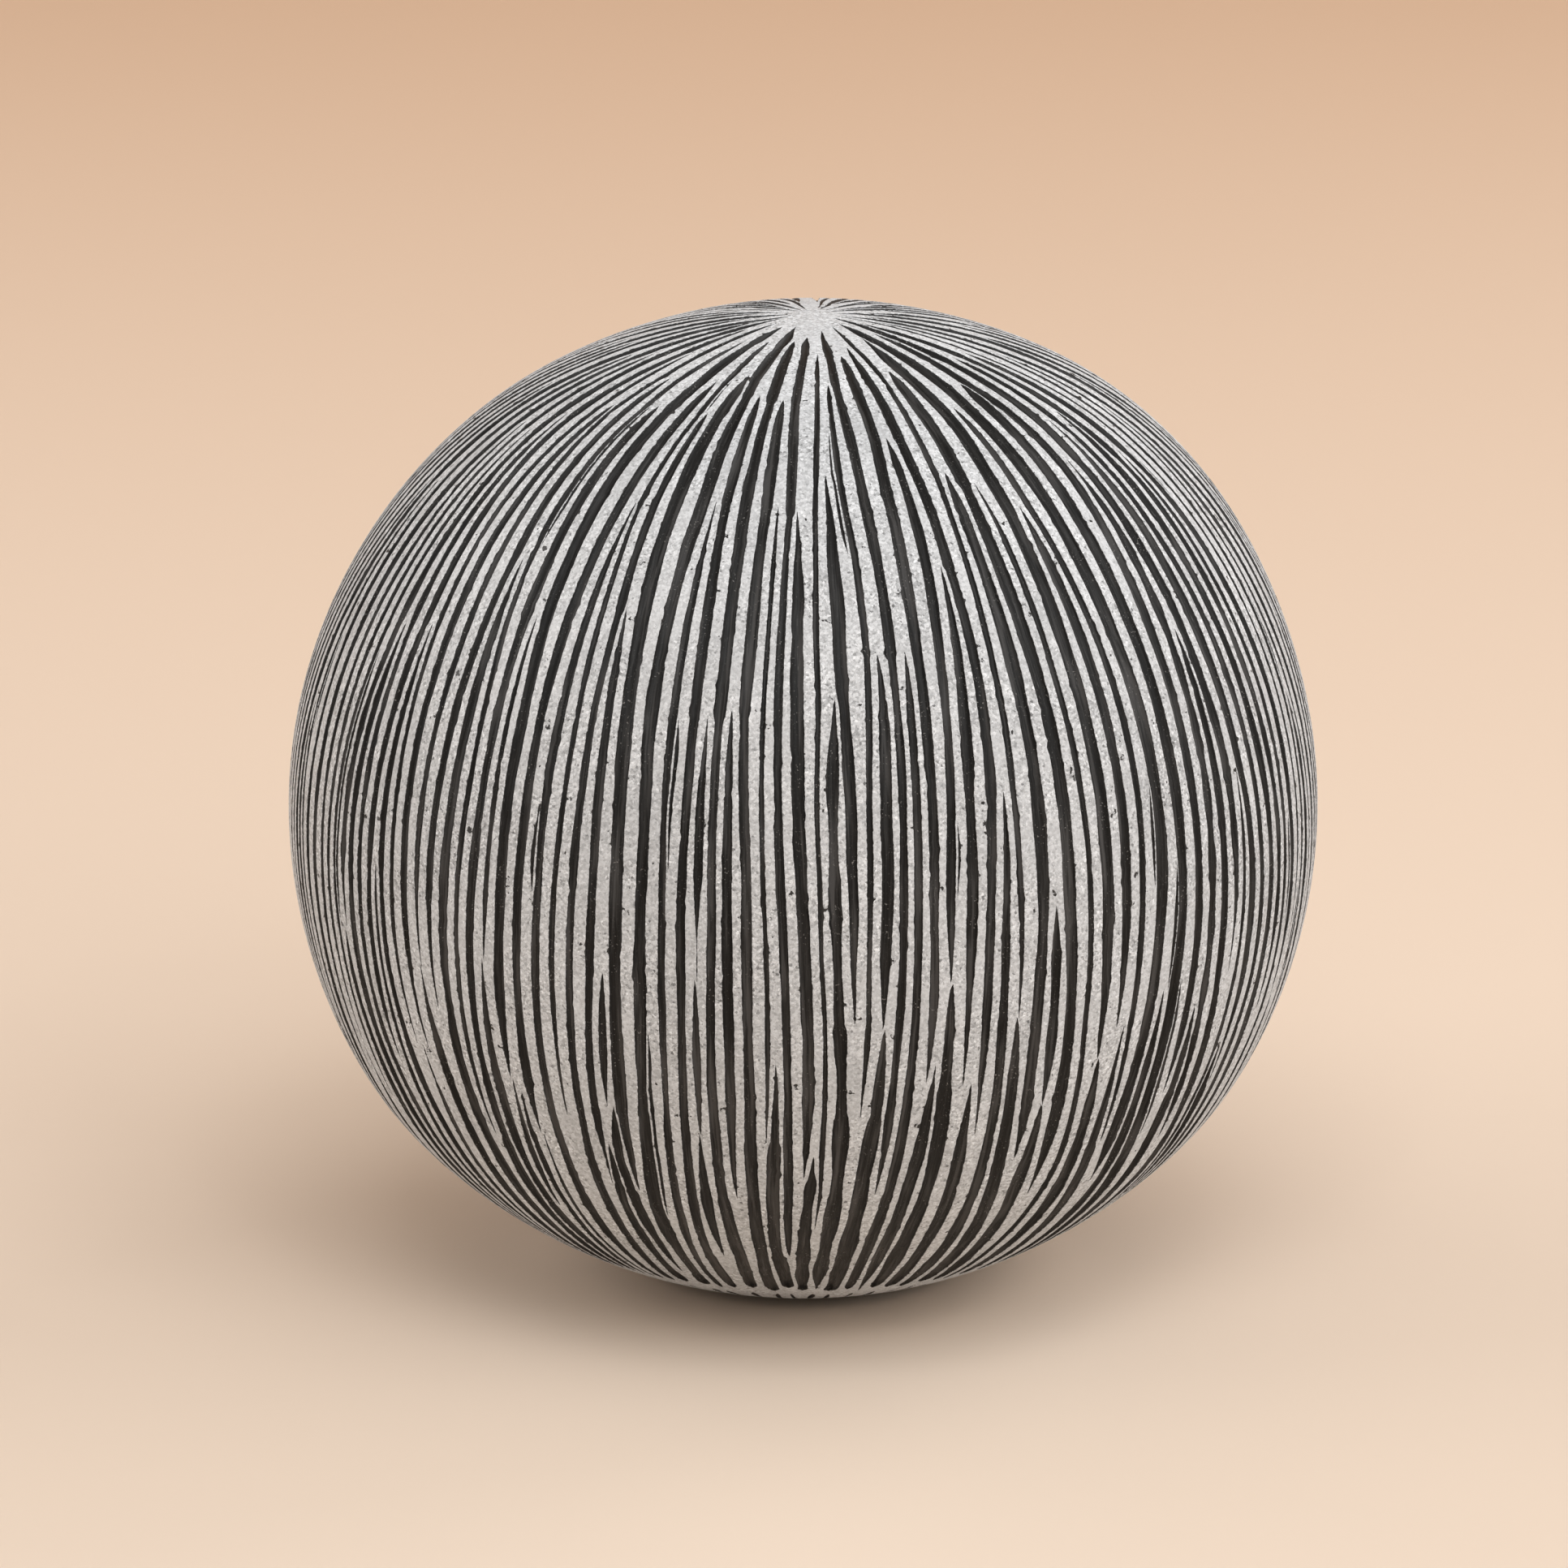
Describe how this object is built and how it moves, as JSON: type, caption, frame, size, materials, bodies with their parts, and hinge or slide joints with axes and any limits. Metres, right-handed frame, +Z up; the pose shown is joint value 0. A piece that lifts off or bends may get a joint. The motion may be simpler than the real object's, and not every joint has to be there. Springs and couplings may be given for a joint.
{
  "type": "carved ceramic ball",
  "caption": "Hollow stoneware decorative ball with a flat foot, coated in pale sandy slip and carved all over with long upright strokes down to the dark clay.",
  "frame": {"origin": "centre of the foot, on the surface the ball stands on", "axes": "+Z up along the ball's axis, -Y towards the viewer"},
  "size_m": [0.2, 0.2, 0.1909],
  "materials": {
    "dark_stoneware": "smooth matt, burnished in the carved strokes",
    "seam_clay": "matt",
    "sandy_slip": "matt, grainy with fine sand",
    "grey_felt": "matt felt"
  },
  "bodies": {
    "root": {"upper_shell": "dark_stoneware", "lower_shell": "dark_stoneware", "joining_slip": "seam_clay", "seam_coil": "seam_clay", "slip_coat": "sandy_slip", "felt_pads": "grey_felt"}
  },
  "joints": []
}
